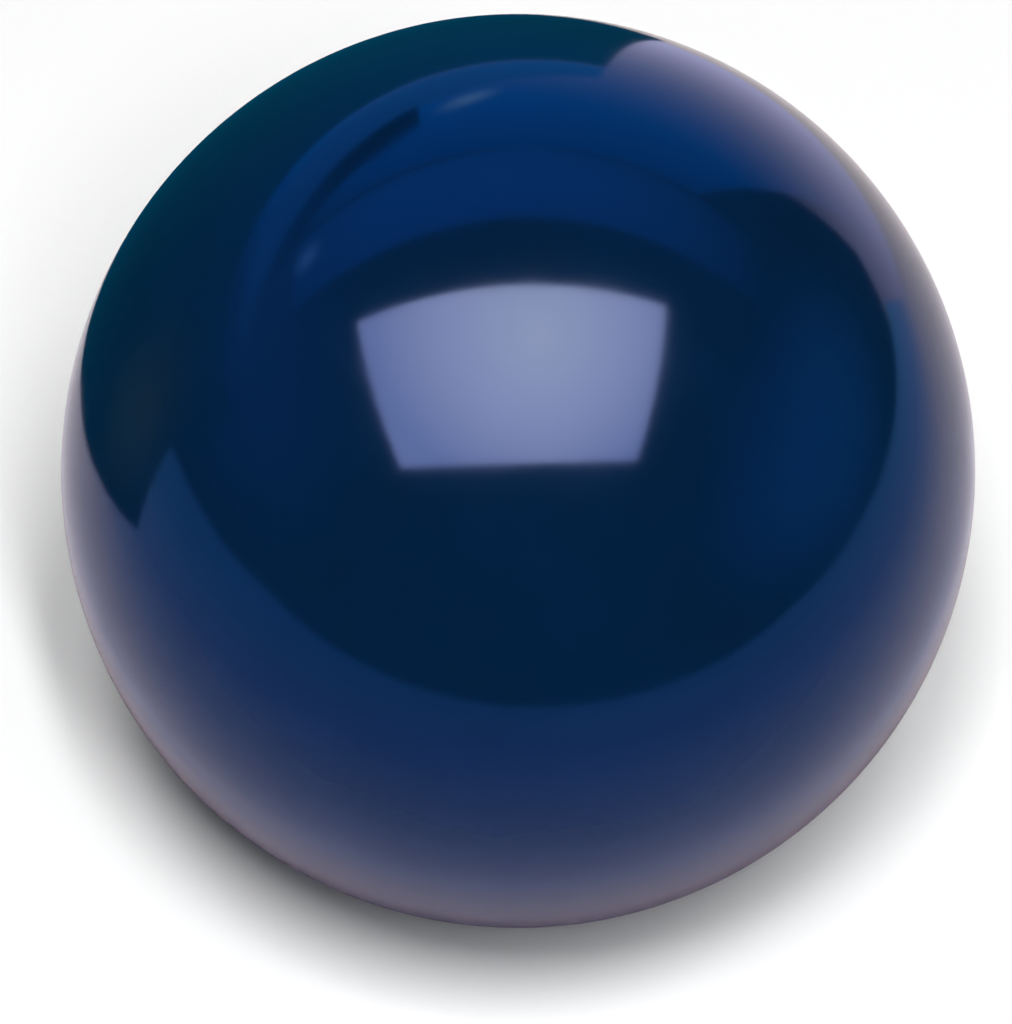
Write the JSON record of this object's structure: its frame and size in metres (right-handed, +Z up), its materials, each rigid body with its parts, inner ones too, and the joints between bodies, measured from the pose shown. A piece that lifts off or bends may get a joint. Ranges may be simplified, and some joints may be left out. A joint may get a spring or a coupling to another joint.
{
  "type": "carom billiard ball",
  "caption": "Solid dark blue ball of cast phenolic resin with a mirror polish, struck with a cue and rolled on a billiard table.",
  "frame": {"origin": "centre of the ball", "axes": "+Z up; the ball is the same in every direction, and -Z points at the spot it rests on"},
  "size_m": [0.0615, 0.0614, 0.0616],
  "materials": {
    "resin": "mirror polished"
  },
  "bodies": {
    "root": {"ball": "resin"}
  },
  "joints": []
}
